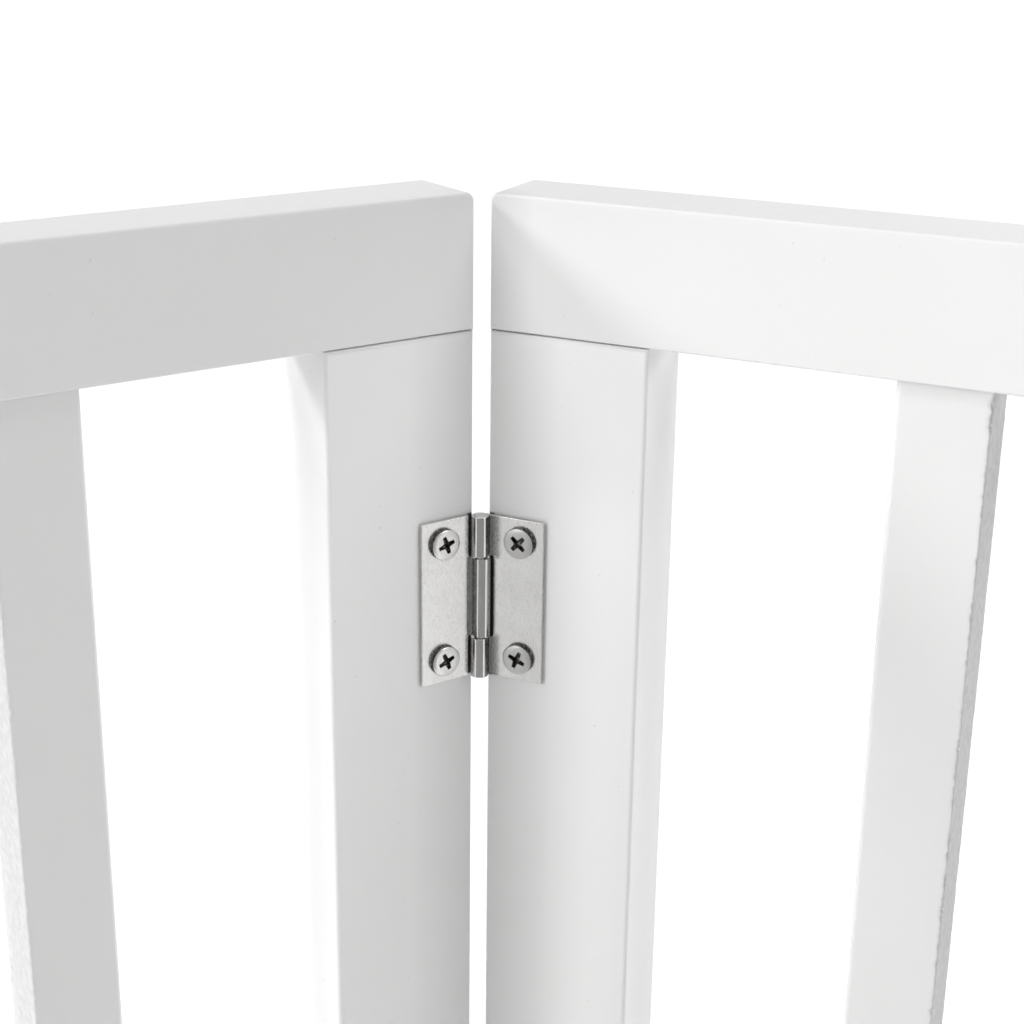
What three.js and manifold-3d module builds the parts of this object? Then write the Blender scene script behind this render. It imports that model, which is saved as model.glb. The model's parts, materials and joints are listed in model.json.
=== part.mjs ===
// A freestanding folding pet gate: two white slatted panels joined by a pair of steel butt hinges.
//
// Millimetres, +Z up, floor at z = 0. The gate stands open in a V that is mirrored about x = 0. The hollow
// side of the V faces -Y and carries the hinges.
//
// A panel is laid out in a frame of its own that stands on the hinge axis: x runs along the panel (towards
// +X on the right panel and -X on the left), y runs from the hinge axis into the boards, z is the height.

import * as THREE from "three";
import { mergeVertices } from "three/addons/utils/BufferGeometryUtils.js";
import Module from "manifold-3d";

// The gate
const OPEN_ANGLE = 120; // degrees between the two panels' front faces
const HEIGHT = 610;
const PANEL_WIDTH = 472;

// The boards
const THICKNESS = 19; // stiles and rails
const STILE_WIDTH = 36;
const RAIL_HEIGHT = 29;
const FLOOR_CLEARANCE = 40; // from the floor to the bottom rail
const SLAT_WIDTH = 19;
const SLAT_THICKNESS = 14;
const SLAT_COUNT = 5;
const RAIL_EASE = 0.6; // radius of the rails' edges
const STILE_EASE = 0.9; // radius of the stiles' edges
const SLAT_EASE = 1.2; // radius of the slats' sanded edges
const EASE_STEPS = 3;
const ARC_STEPS = 2; // a shape's quarter arc is drawn with twice as many
const TOP_CORNER = 1.6; // radius of the top rail's upper corners, seen from the front

// The joints inside the frame
const GLUE_LINE = 0.2; // left between two boards that are glued together
const MORTISE_DEPTH = 8;
const DOWEL_RADIUS = 3;
const DOWEL_LENGTH = 32;
const DOWEL_SPACING = 16;
const DOWEL_END_ROOM = 1;
const DOWEL_SIDES = 12;

// The hinges
const LEAF_HEIGHT = 38;
const LEAF_REACH = 14.4; // from the pin's axis to the leaf's free edge
const LEAF_THICKNESS = 0.8;
const LEAF_CORNER = 0.5;
const HINGE_INSET = 70.2; // from the top rail's top to the upper leaves, and from the floor to the lower ones
const KNUCKLE_RADIUS = 2.15;
const KNUCKLE_END = 9.5; // height of the top and the bottom knuckle
const KNUCKLE_GAP = 0.25;
const BORE_RADIUS = 1.35;
const PIN_RADIUS = 1.27;
const PIN_DOME = 0.35;
const BARREL_SIDES = 24;
const FACE = 2.4; // from the pin's axis back to the boards' front face
const EDGE = 0.5; // from the pin's axis along the panel to the hinge stile's edge

// The screws
const SCREW_REACH = 8.8; // from the pin's axis
const SCREW_SPACING = 27.5;
const HEAD_RADIUS = 3.5;
const HEAD_HEIGHT = 1.2;
const HEAD_ROUND = 0.5; // radius of the head's rim
const HEAD_SEAT = 0.05; // room under the head
const SHANK_RADIUS = 1.5;
const SHANK_LENGTH = 14;
const POINT_LENGTH = 4;
const HOLE_END_ROOM = 1;
const SCREW_HOLE_RADIUS = 1.85;
const CROSS_SPAN = 3.8;
const CROSS_WIDTH = 0.9;
const CROSS_DEPTH = 0.8;
const SCREW_SIDES = 16;
const ROUND_STEPS = 2;

// The feet
const FOOT_RADIUS = 6.5;
const FOOT_CHAMFER = 0.8;
const FOOT_HEIGHT = 3;
const FOOT_SIDES = 20;

// Places worked out from those
const TURN = THREE.MathUtils.degToRad((180 - OPEN_ANGLE) / 2); // each panel's turn out of the plane y = 0
const MIDDLE = FACE + THICKNESS / 2; // the middle of the boards' thickness
const PANEL_END = EDGE + PANEL_WIDTH;
const RAIL_UNDERSIDE = HEIGHT - RAIL_HEIGHT;
const BOTTOM_RAIL_MIDDLE = FLOOR_CLEARANCE + RAIL_HEIGHT / 2;
const STILE_MIDDLES = [EDGE + STILE_WIDTH / 2, PANEL_END - STILE_WIDTH / 2];
const INNER_EDGES = [EDGE + STILE_WIDTH, PANEL_END - STILE_WIDTH];
const LEAF_FRONT = KNUCKLE_RADIUS - LEAF_THICKNESS;
const HINGES = [
  { name: "upper_hinge", z: HEIGHT - HINGE_INSET - LEAF_HEIGHT / 2 },
  { name: "lower_hinge", z: HINGE_INSET + LEAF_HEIGHT / 2 },
];
const SIDES = [
  { name: "left", sign: -1 },
  { name: "right", sign: 1 },
];

const wasm = await Module();
wasm.setup();

// ---- Materials ----------------------------------------------------------------------------------------

function whitePaint() {
  return new THREE.MeshStandardMaterial({ color: 0xf2f1f1, roughness: 0.45, metalness: 0 });
}

function beech() {
  return new THREE.MeshStandardMaterial({ color: 0xd2b48a, roughness: 0.7, metalness: 0 });
}

function hingeSteel() {
  return new THREE.MeshStandardMaterial({ color: 0xc4c3c1, roughness: 0.35, metalness: 1 });
}

function screwSteel() {
  return new THREE.MeshStandardMaterial({ color: 0xb9b6b2, roughness: 0.3, metalness: 1 });
}

function footRubber() {
  return new THREE.MeshStandardMaterial({ color: 0x8f9092, roughness: 0.85, metalness: 0 });
}

// ---- From geometry to solid and back ------------------------------------------------------------------

function toSolid(geometry) {
  const bare = geometry.clone();
  bare.deleteAttribute("normal");
  bare.deleteAttribute("uv");
  const merged = mergeVertices(bare, 1e-4);
  const mesh = new wasm.Mesh({
    numProp: 3,
    vertProperties: merged.attributes.position.array,
    triVerts: new Uint32Array(merged.index.array),
  });
  return new wasm.Manifold(mesh);
}

function toGeometry(solid) {
  const mesh = solid.getMesh();
  const shared = new THREE.BufferGeometry();
  shared.setAttribute("position", new THREE.BufferAttribute(mesh.vertProperties, 3));
  shared.setIndex(new THREE.BufferAttribute(mesh.triVerts, 1));
  const geometry = shared.toNonIndexed();
  geometry.computeVertexNormals();
  return geometry;
}

function cutBy(geometry, cutters) {
  const solid = cutters.reduce((left, cutter) => left.subtract(toSolid(cutter)), toSolid(geometry));
  return toGeometry(solid);
}

function piece(name, geometry, material) {
  const mesh = new THREE.Mesh(geometry, material);
  mesh.name = name;
  return mesh;
}

// ---- Simple shapes, each centred on its own place -----------------------------------------------------

function block(sizeX, sizeY, sizeZ, x, y, z) {
  return new THREE.BoxGeometry(sizeX, sizeY, sizeZ).translate(x, y, z);
}

// A round bar whose length runs along the named axis.
function bar(radius, length, axis, sides) {
  const geometry = new THREE.CylinderGeometry(radius, radius, length, sides);
  if (axis === "x") {
    geometry.rotateZ(Math.PI / 2);
  }
  if (axis === "z") {
    geometry.rotateX(Math.PI / 2);
  }
  return geometry;
}

function roundedRectangle(width, height, radius) {
  const x = width / 2 - radius;
  const y = height / 2 - radius;
  const shape = new THREE.Shape();
  shape.absarc(x, -y, radius, -Math.PI / 2, 0);
  shape.absarc(x, y, radius, 0, Math.PI / 2);
  shape.absarc(-x, y, radius, Math.PI / 2, Math.PI);
  shape.absarc(-x, -y, radius, Math.PI, Math.PI * 1.5);
  return shape;
}

// A board's outline, seen from the front, with square lower corners. The upper corners are round or square.
function boardOutline(width, height, topCorner) {
  const x = width / 2;
  const y = height / 2;
  const shape = new THREE.Shape();
  shape.moveTo(-x, -y);
  shape.lineTo(x, -y);
  if (topCorner > 0) {
    shape.absarc(x - topCorner, y - topCorner, topCorner, 0, Math.PI / 2);
    shape.absarc(topCorner - x, y - topCorner, topCorner, Math.PI / 2, Math.PI);
  } else {
    shape.lineTo(x, y);
    shape.lineTo(-x, y);
  }
  return shape;
}

// A stile or rail whose front and rear edges are eased.
function framingBoard(width, height, ease, topCorner = 0) {
  const outline = boardOutline(width - 2 * ease, height - 2 * ease, Math.max(topCorner - ease, 0));
  const depth = THICKNESS - 2 * ease;
  const geometry = new THREE.ExtrudeGeometry(outline, {
    depth,
    bevelThickness: ease,
    bevelSize: ease,
    bevelSegments: EASE_STEPS,
    curveSegments: ARC_STEPS,
  });
  geometry.translate(0, 0, -depth / 2);
  return geometry.rotateX(Math.PI / 2);
}

// ---- Slats --------------------------------------------------------------------------------------------

// The slats share out the opening between the stiles, with one more gap than there are slats.
function slatPlaces() {
  const opening = INNER_EDGES[1] - INNER_EDGES[0];
  const gap = (opening - SLAT_COUNT * SLAT_WIDTH) / (SLAT_COUNT + 1);
  const pitch = gap + SLAT_WIDTH;
  return Array.from({ length: SLAT_COUNT }, (_, i) => INNER_EDGES[0] + gap + SLAT_WIDTH / 2 + i * pitch);
}

const SLAT_BOTTOM = FLOOR_CLEARANCE + RAIL_HEIGHT - MORTISE_DEPTH;
const SLAT_TOP = RAIL_UNDERSIDE + MORTISE_DEPTH;

function slatGeometry(x) {
  const outline = roundedRectangle(SLAT_WIDTH, SLAT_THICKNESS, SLAT_EASE);
  const length = SLAT_TOP - SLAT_BOTTOM;
  const geometry = new THREE.ExtrudeGeometry(outline, {
    depth: length,
    bevelEnabled: false,
    curveSegments: ARC_STEPS,
  });
  return geometry.translate(x, MIDDLE, SLAT_BOTTOM);
}

// The room that a slat's end needs in a rail: the slat grown by the glue line.
function mortiseCutter(x) {
  const length = SLAT_TOP - SLAT_BOTTOM + 2 * GLUE_LINE;
  const width = SLAT_WIDTH + 2 * GLUE_LINE;
  const thickness = SLAT_THICKNESS + 2 * GLUE_LINE;
  return block(width, thickness, length, x, MIDDLE, (SLAT_TOP + SLAT_BOTTOM) / 2);
}

// ---- Dowels -------------------------------------------------------------------------------------------

// Two upright dowels stand in each stile's top, and two lie in each end of the bottom rail.
function dowelPlaces(sign) {
  const steps = [-DOWEL_SPACING / 2, DOWEL_SPACING / 2];
  const upright = STILE_MIDDLES.flatMap((middle) =>
    steps.map((step) => ({ group: "top", axis: "z", x: sign * (middle + step), z: RAIL_UNDERSIDE })),
  );
  const lying = INNER_EDGES.flatMap((edge) =>
    steps.map((step) => ({ group: "bottom", axis: "x", x: sign * edge, z: BOTTOM_RAIL_MIDDLE + step })),
  );
  return [...upright, ...lying];
}

function dowelGeometry(place) {
  return bar(DOWEL_RADIUS, DOWEL_LENGTH, place.axis, DOWEL_SIDES).translate(place.x, MIDDLE, place.z);
}

function dowelCutter(place) {
  const length = DOWEL_LENGTH + 2 * DOWEL_END_ROOM;
  return bar(DOWEL_RADIUS + GLUE_LINE, length, place.axis, DOWEL_SIDES).translate(place.x, MIDDLE, place.z);
}

// ---- Screws -------------------------------------------------------------------------------------------

function screwPlaces() {
  return HINGES.flatMap((hinge) => [
    { hinge: hinge.name, end: "top", z: hinge.z + SCREW_SPACING / 2 },
    { hinge: hinge.name, end: "bottom", z: hinge.z - SCREW_SPACING / 2 },
  ]);
}

// Points of a quarter of an ellipse, from [radius, 0] to [0, height].
function quarterArc(radius, height) {
  return Array.from({ length: ROUND_STEPS + 1 }, (_, i) => {
    const angle = (i / ROUND_STEPS) * (Math.PI / 2);
    return [radius * Math.cos(angle), height * Math.sin(angle)];
  });
}

// Turns a profile of [radius, height] pairs, listed from the bottom up, about the Y axis.
function turned(profile, sides) {
  const points = profile.map(([radius, y]) => new THREE.Vector2(Math.max(radius, 0), y));
  return new THREE.LatheGeometry(points, sides);
}

// A pan-head wood screw with a cross recess. Its head faces -y, and y = 0 is the seat under the head.
function screwGeometry() {
  const rim = quarterArc(HEAD_ROUND, HEAD_ROUND).reverse();
  const top = HEAD_HEIGHT - HEAD_ROUND;
  const body = turned(
    [
      [0, -HEAD_HEIGHT],
      ...rim.map(([r, y]) => [HEAD_RADIUS - HEAD_ROUND + r, -top - y]),
      [HEAD_RADIUS, 0],
      [SHANK_RADIUS, 0],
      [SHANK_RADIUS, SHANK_LENGTH - POINT_LENGTH],
      [0, SHANK_LENGTH],
    ],
    SCREW_SIDES,
  );
  const along = block(CROSS_SPAN, 2 * CROSS_DEPTH, CROSS_WIDTH, 0, -HEAD_HEIGHT, 0);
  const across = block(CROSS_WIDTH, 2 * CROSS_DEPTH, CROSS_SPAN, 0, -HEAD_HEIGHT, 0);
  return cutBy(body, [along, across]);
}

// Each screw stopped at its own angle when it was driven home.
function screw(name, x, z, driverTurn) {
  const mesh = piece(name, screwGeometry(), screwSteel());
  mesh.position.set(x, LEAF_FRONT - HEAD_SEAT, z);
  mesh.rotation.y = THREE.MathUtils.degToRad(driverTurn);
  return mesh;
}

function pilotHole(sign, z) {
  const length = SHANK_LENGTH + HOLE_END_ROOM;
  const hole = bar(SCREW_HOLE_RADIUS, length, "y", DOWEL_SIDES);
  return hole.translate(sign * SCREW_REACH, LEAF_FRONT + length / 2, z);
}

// ---- Hinges -------------------------------------------------------------------------------------------

const KNUCKLE_SPLIT = LEAF_HEIGHT / 2 - KNUCKLE_END; // height of the joints between knuckles, from the middle

// The heights that each leaf's knuckles span, from the hinge's middle.
const KNUCKLES = {
  left: [[-KNUCKLE_SPLIT, KNUCKLE_SPLIT]],
  right: [
    [KNUCKLE_SPLIT, LEAF_HEIGHT / 2],
    [-LEAF_HEIGHT / 2, -KNUCKLE_SPLIT],
  ],
};

function leafPlate(sign) {
  const outline = roundedRectangle(2 * LEAF_REACH, LEAF_HEIGHT, LEAF_CORNER);
  const whole = new THREE.ExtrudeGeometry(outline, {
    depth: LEAF_THICKNESS,
    bevelEnabled: false,
    curveSegments: ARC_STEPS,
  });
  whole.rotateX(Math.PI / 2).translate(0, KNUCKLE_RADIUS, 0);
  const otherHalf = block(LEAF_REACH * 2, LEAF_REACH, LEAF_HEIGHT * 2, -sign * LEAF_REACH, 0, 0);
  return toSolid(whole).subtract(toSolid(otherHalf));
}

// A knuckle stops half a gap short of its neighbour, but not at the hinge's ends.
function knuckle([from, to]) {
  const low = from === -LEAF_HEIGHT / 2 ? from : from + KNUCKLE_GAP / 2;
  const high = to === LEAF_HEIGHT / 2 ? to : to - KNUCKLE_GAP / 2;
  return toSolid(bar(KNUCKLE_RADIUS, high - low, "z", BARREL_SIDES).translate(0, 0, (high + low) / 2));
}

// The notch that lets the other leaf's knuckle past this leaf's plate.
function notch([from, to]) {
  const half = KNUCKLE_RADIUS + 2 * KNUCKLE_GAP;
  const height = to - from + KNUCKLE_GAP;
  return toSolid(block(2 * half, 4 * KNUCKLE_RADIUS, height, 0, 0, (from + to) / 2));
}

function leafHole(sign, z) {
  const hole = bar(SCREW_HOLE_RADIUS, 4 * KNUCKLE_RADIUS, "y", SCREW_SIDES);
  return toSolid(hole.translate(sign * SCREW_REACH, KNUCKLE_RADIUS, z));
}

function leafGeometry(side) {
  const other = side.name === "left" ? "right" : "left";
  let leaf = leafPlate(side.sign);
  KNUCKLES[other].forEach((span) => {
    leaf = leaf.subtract(notch(span));
  });
  KNUCKLES[side.name].forEach((span) => {
    leaf = leaf.add(knuckle(span));
  });
  leaf = leaf.subtract(toSolid(bar(BORE_RADIUS, 2 * LEAF_HEIGHT, "z", BARREL_SIDES)));
  [-SCREW_SPACING / 2, SCREW_SPACING / 2].forEach((z) => {
    leaf = leaf.subtract(leafHole(side.sign, z));
  });
  return toGeometry(leaf);
}

// The pin's ends stand slightly proud of the barrel, domed.
function pinGeometry() {
  const end = LEAF_HEIGHT / 2;
  const dome = quarterArc(PIN_RADIUS, PIN_DOME);
  const bottom = dome.map(([r, y]) => [r, -end - y]).reverse();
  const top = dome.map(([r, y]) => [r, end + y]);
  return turned([...bottom, ...top], BARREL_SIDES).rotateX(Math.PI / 2);
}

// ---- Feet ---------------------------------------------------------------------------------------------

// A stick-on rubber foot, chamfered where it meets the floor.
function foot(name, x) {
  const top = FOOT_HEIGHT - GLUE_LINE;
  const profile = [
    [0, 0],
    [FOOT_RADIUS - FOOT_CHAMFER, 0],
    [FOOT_RADIUS, FOOT_CHAMFER],
    [FOOT_RADIUS, top],
    [0, top],
  ];
  const mesh = piece(name, turned(profile, FOOT_SIDES), footRubber());
  mesh.rotation.x = Math.PI / 2;
  mesh.position.set(x, MIDDLE, 0);
  return mesh;
}

// ---- A whole panel ------------------------------------------------------------------------------------

function topRail(sign) {
  const geometry = framingBoard(PANEL_WIDTH, RAIL_HEIGHT, RAIL_EASE, TOP_CORNER);
  return geometry.translate(sign * (EDGE + PANEL_WIDTH / 2), MIDDLE, HEIGHT - RAIL_HEIGHT / 2);
}

function bottomRail(sign) {
  const length = INNER_EDGES[1] - INNER_EDGES[0] - 2 * GLUE_LINE;
  const middle = (INNER_EDGES[0] + INNER_EDGES[1]) / 2;
  const geometry = framingBoard(length, RAIL_HEIGHT, RAIL_EASE);
  return geometry.translate(sign * middle, MIDDLE, BOTTOM_RAIL_MIDDLE);
}

function stile(x) {
  const length = RAIL_UNDERSIDE - GLUE_LINE - FOOT_HEIGHT;
  const geometry = framingBoard(STILE_WIDTH, length, STILE_EASE);
  return geometry.translate(x, MIDDLE, FOOT_HEIGHT + length / 2);
}

function panel(side) {
  const { name, sign } = side;
  const group = new THREE.Group();
  const slats = slatPlaces().map((x) => sign * x);
  const dowels = dowelPlaces(sign);
  const cutters = [...slats.map(mortiseCutter), ...dowels.map(dowelCutter)];
  const pilots = screwPlaces().map((place) => pilotHole(sign, place.z));
  const [hingeStile, outerStile] = STILE_MIDDLES.map((x) => sign * x);

  group.add(piece(`${name}_top_rail`, cutBy(topRail(sign), cutters), whitePaint()));
  group.add(piece(`${name}_bottom_rail`, cutBy(bottomRail(sign), cutters), whitePaint()));
  group.add(piece(`${name}_hinge_stile`, cutBy(stile(hingeStile), [...cutters, ...pilots]), whitePaint()));
  group.add(piece(`${name}_outer_stile`, cutBy(stile(outerStile), cutters), whitePaint()));
  slats.forEach((x, i) => {
    group.add(piece(`${name}_slat_${i + 1}`, slatGeometry(x), whitePaint()));
  });
  dowels.forEach((place, i) => {
    const label = `${name}_${place.group}_dowel_${(i % 4) + 1}`;
    group.add(piece(label, dowelGeometry(place), beech()));
  });
  group.add(foot(`${name}_inner_foot`, hingeStile));
  group.add(foot(`${name}_outer_foot`, outerStile));
  return group;
}

// The leaves, screws and pins that belong to one panel. The pins stay in the right-hand leaves.
function hardware(side) {
  const group = new THREE.Group();
  const driverTurns = side.name === "left" ? [18, 22, 9, 30] : [47, 68, 35, 12];
  HINGES.forEach((hinge) => {
    const leaf = piece(`${hinge.name}_${side.name}_leaf`, leafGeometry(side), hingeSteel());
    leaf.position.z = hinge.z;
    group.add(leaf);
    if (side.name === "right") {
      const pin = piece(`${hinge.name}_pin`, pinGeometry(), hingeSteel());
      pin.position.z = hinge.z;
      group.add(pin);
    }
  });
  screwPlaces().forEach((place, i) => {
    const label = `${place.hinge}_${side.name}_screw_${place.end}`;
    group.add(screw(label, side.sign * SCREW_REACH, place.z, driverTurns[i]));
  });
  return group;
}

// ---- The gate -----------------------------------------------------------------------------------------

// How far back the hinge axis stands, so that the origin is in the middle of the gate's depth: the far ends'
// front edges reach forwards as much as the hinge stiles' rear edges reach back.
function axisPlace() {
  const ease = RAIL_EASE;
  const forwards = (PANEL_END - ease) * Math.sin(TURN) - (FACE + ease) * Math.cos(TURN) + ease;
  const back = (FACE + THICKNESS - ease) * Math.cos(TURN) - (EDGE + ease) * Math.sin(TURN) + ease;
  return (forwards - back) / 2;
}

const gate = new THREE.Group();
SIDES.forEach((side) => {
  const half = new THREE.Group();
  half.add(panel(side));
  half.add(hardware(side));
  half.rotation.z = -side.sign * TURN;
  half.position.y = axisPlace();
  gate.add(half);
});

export default gate;
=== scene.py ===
"""The looks of a folding pet gate: white-painted slatted panels joined by steel butt hinges.

Lengths are metres, in the frame of the CAD model. A panel's own frame stands on the hinge axis: x runs along
the panel (towards -X on the left one), y runs from the axis into the boards, and z is the height.
"""

import json
import math

import bmesh
import bpy
from mathutils import Matrix, Vector, noise


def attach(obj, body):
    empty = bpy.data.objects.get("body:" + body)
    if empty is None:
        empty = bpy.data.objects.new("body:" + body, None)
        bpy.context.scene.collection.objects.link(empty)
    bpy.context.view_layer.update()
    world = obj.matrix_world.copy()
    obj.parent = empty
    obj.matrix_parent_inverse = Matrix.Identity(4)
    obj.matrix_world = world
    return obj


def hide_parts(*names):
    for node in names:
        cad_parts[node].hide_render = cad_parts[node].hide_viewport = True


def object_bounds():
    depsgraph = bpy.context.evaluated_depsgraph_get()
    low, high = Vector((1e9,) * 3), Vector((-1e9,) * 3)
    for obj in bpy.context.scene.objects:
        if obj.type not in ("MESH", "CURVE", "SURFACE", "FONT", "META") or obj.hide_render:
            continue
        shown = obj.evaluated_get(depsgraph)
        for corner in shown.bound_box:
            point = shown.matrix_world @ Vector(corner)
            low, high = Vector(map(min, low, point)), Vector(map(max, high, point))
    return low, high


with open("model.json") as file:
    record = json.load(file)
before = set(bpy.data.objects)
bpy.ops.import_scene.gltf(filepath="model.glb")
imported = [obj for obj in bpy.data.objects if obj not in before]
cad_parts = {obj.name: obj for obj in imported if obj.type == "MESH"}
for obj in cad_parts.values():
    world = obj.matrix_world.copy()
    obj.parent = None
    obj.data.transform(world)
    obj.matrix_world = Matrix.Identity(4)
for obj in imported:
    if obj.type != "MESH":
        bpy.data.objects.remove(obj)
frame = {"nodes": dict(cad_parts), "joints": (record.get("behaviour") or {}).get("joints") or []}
cad_low, cad_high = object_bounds()

MM = 0.001

# ---- Places taken from the frame ------------------------------------------------------------------------

FOLD = frame["joints"][0]
AXIS = Vector((FOLD["pos_m"][0], FOLD["pos_m"][1], 0.0))
TURN = math.radians(FOLD["range_deg"][1]) / 2  # each panel's turn out of the plane in which they lie flat
GATE_TOP = cad_high.z
SIGNS = {"left": -1, "right": 1}
HINGES = ("upper_hinge", "lower_hinge")


def panel_matrix(side):
    """From a panel's own frame to the model's."""
    return Matrix.Translation(AXIS) @ Matrix.Rotation(-SIGNS[side] * TURN, 4, "Z")


def panel_box(node, side):
    """The lowest and highest corner of a CAD node in its panel's own frame."""
    back = panel_matrix(side).inverted()
    points = [back @ v.co for v in frame["nodes"][node].data.vertices]
    low = Vector([min(p[k] for p in points) for k in range(3)])
    high = Vector([max(p[k] for p in points) for k in range(3)])
    return low, high


# ---- Building meshes ------------------------------------------------------------------------------------


def mesh_piece(name, bm, side, node, material):
    """Makes the piece that stands for a CAD node, from a bmesh drawn in the panel's own frame."""
    bmesh.ops.recalc_face_normals(bm, faces=bm.faces)
    mesh = bpy.data.meshes.new(name)
    bm.to_mesh(mesh)
    bm.free()
    piece = bpy.data.objects.new(name, mesh)
    bpy.context.scene.collection.objects.link(piece)
    piece.matrix_world = panel_matrix(side)
    mesh.materials.append(material)
    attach(piece, side + "_panel")
    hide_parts(node)
    return piece


def shade_smooth(piece, angle=40):
    """Smooth shading, broken where faces meet at more than the angle in degrees."""
    mesh = piece.data
    mesh.polygons.foreach_set("use_smooth", [True] * len(mesh.polygons))
    mesh.set_sharp_from_angle(angle=math.radians(angle))


def loft(bm, rings):
    """Joins rings of points, each with as many points, into a tube, with a face over each end."""
    made = [[bm.verts.new(p) for p in ring] for ring in rings]
    count = len(made[0])
    for low, high in zip(made, made[1:]):
        for i in range(count):
            j = (i + 1) % count
            bm.faces.new((low[i], low[j], high[j], high[i]))
    bm.faces.new(list(reversed(made[0])))
    bm.faces.new(made[-1])


def turned(bm, profile, sides, matrix=None):
    """Turns a profile of (radius, height) about Z. A radius of 0 at either end closes it on a point."""
    matrix = matrix or Matrix.Identity(4)
    rows = []
    for radius, height in profile:
        if radius == 0:
            rows.append([bm.verts.new(matrix @ Vector((0, 0, height)))])
            continue
        angles = [2 * math.pi * i / sides for i in range(sides)]
        ring = [Vector((radius * math.cos(a), radius * math.sin(a), height)) for a in angles]
        rows.append([bm.verts.new(matrix @ p) for p in ring])
    for low, high in zip(rows, rows[1:]):
        for i in range(sides):
            j = (i + 1) % sides
            corners = [low[i % len(low)], low[j % len(low)], high[j % len(high)], high[i % len(high)]]
            bm.faces.new(list(dict.fromkeys(corners)))


def arc(centre, radius, start, end, steps):
    """Points (x, y) along an arc, from one angle in degrees to another."""
    angles = [math.radians(start + (end - start) * i / steps) for i in range(steps + 1)]
    return [(centre[0] + radius * math.cos(a), centre[1] + radius * math.sin(a)) for a in angles]


# ---- Node materials -------------------------------------------------------------------------------------


class Shader:
    """A Principled material whose inputs are fed by a few kinds of procedural node."""

    def __init__(self, name, **constants):
        self.material = bpy.data.materials.new(name)
        self.material.use_nodes = True
        self.tree = self.material.node_tree
        self.surface = self.tree.nodes["Principled BSDF"]
        for key, value in constants.items():
            self.surface.inputs[key.replace("_", " ")].default_value = value
        self.place = self.tree.nodes.new("ShaderNodeTexCoord").outputs["Object"]

    def feed(self, socket, value):
        if isinstance(value, bpy.types.NodeSocket):
            self.tree.links.new(value, socket)
        else:
            socket.default_value = value

    def part(self, axis):
        """One coordinate of the place."""
        parts = self.tree.nodes.new("ShaderNodeSeparateXYZ")
        self.feed(parts.inputs["Vector"], self.place)
        return parts.outputs[axis]

    def stretched(self, scale):
        """The place, scaled by a different amount along each axis."""
        mapping = self.tree.nodes.new("ShaderNodeMapping")
        self.feed(mapping.inputs["Vector"], self.place)
        mapping.inputs["Scale"].default_value = scale
        return mapping.outputs["Vector"]

    def noise(self, size, detail=3.0, roughness=0.5, place=None):
        """Noise whose lumps are about size metres across."""
        texture = self.tree.nodes.new("ShaderNodeTexNoise")
        self.feed(texture.inputs["Vector"], place or self.place)
        texture.inputs["Scale"].default_value = 1 / size
        texture.inputs["Detail"].default_value = detail
        texture.inputs["Roughness"].default_value = roughness
        return texture.outputs["Fac"]

    def spread(self, value, low, high, start=0.3, end=0.7):
        """Maps a value that runs from start to end onto low to high."""
        node = self.tree.nodes.new("ShaderNodeMapRange")
        self.feed(node.inputs["Value"], value)
        node.inputs["From Min"].default_value = start
        node.inputs["From Max"].default_value = end
        node.inputs["To Min"].default_value = low
        node.inputs["To Max"].default_value = high
        return node.outputs["Result"]

    def math(self, operation, a, b):
        node = self.tree.nodes.new("ShaderNodeMath")
        node.operation = operation
        self.feed(node.inputs[0], a)
        self.feed(node.inputs[1], b)
        return node.outputs["Value"]

    def blend(self, factor, a, b):
        """A colour between two colours."""
        node = self.tree.nodes.new("ShaderNodeMix")
        node.data_type = "RGBA"
        self.feed(node.inputs["Factor"], factor)
        self.feed(node.inputs["A"], a)
        self.feed(node.inputs["B"], b)
        return node.outputs["Result"]

    def bump(self, height, depth, onto=None):
        """Raises the surface by depth metres where the height is 1."""
        node = self.tree.nodes.new("ShaderNodeBump")
        self.feed(node.inputs["Height"], height)
        node.inputs["Distance"].default_value = depth
        if onto:
            self.feed(node.inputs["Normal"], onto)
        return node.outputs["Normal"]

    def finish(self, colour=None, roughness=None, normal=None):
        inputs = {"Base Color": colour, "Roughness": roughness, "Normal": normal}
        for key, value in inputs.items():
            if value is not None:
                self.feed(self.surface.inputs[key], value)
        return self.material


def grey(value, warmth=0.0):
    """A near-neutral colour; warmth lifts red over blue."""
    return (value * (1 + warmth), value, value * (1 - warmth), 1.0)


# The sliver of stile seen past the knuckles is painted black, as painted shade.
SLOT_SHADE_EDGE = (3.0 * MM, 3.35 * MM)  # from the pin's axis
SLOT_SHADE_FADE = 0.4 * MM  # past the leaves' ends
# Where the boards by the fold are painted greyer, as painted shade.
FOLD_SHADE_START = 2 * MM  # from the pin's axis
FOLD_SHADE_REACH = 17 * MM


def from_fold(shader):
    """The horizontal distance from the pin's axis, and the height, as sockets on a CAD solid's surface."""
    across = shader.math("SUBTRACT", shader.part("X"), AXIS.x)
    deep = shader.math("SUBTRACT", shader.part("Y"), AXIS.y)
    squares = shader.math("ADD", shader.math("POWER", across, 2.0), shader.math("POWER", deep, 2.0))
    return shader.math("SQRT", squares, 0.0), shader.part("Z")


def slot_shade(shader, away, height):
    """1 on the sliver of a stile behind the knuckles, which is painted black as painted shade, and 0
    elsewhere.
    """
    marks = []
    for hinge in HINGES:
        low, high = panel_box(f"{hinge}_left_leaf", "left")
        above = shader.math("ABSOLUTE", shader.math("SUBTRACT", height, (low.z + high.z) / 2), 0.0)
        half = (high.z - low.z) / 2
        marks.append(shader.spread(above, 1.0, 0.0, half, half + SLOT_SHADE_FADE))
    close = shader.spread(away, 1.0, 0.0, *SLOT_SHADE_EDGE)
    return shader.math("MULTIPLY", shader.math("MAXIMUM", *marks), close)


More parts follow.
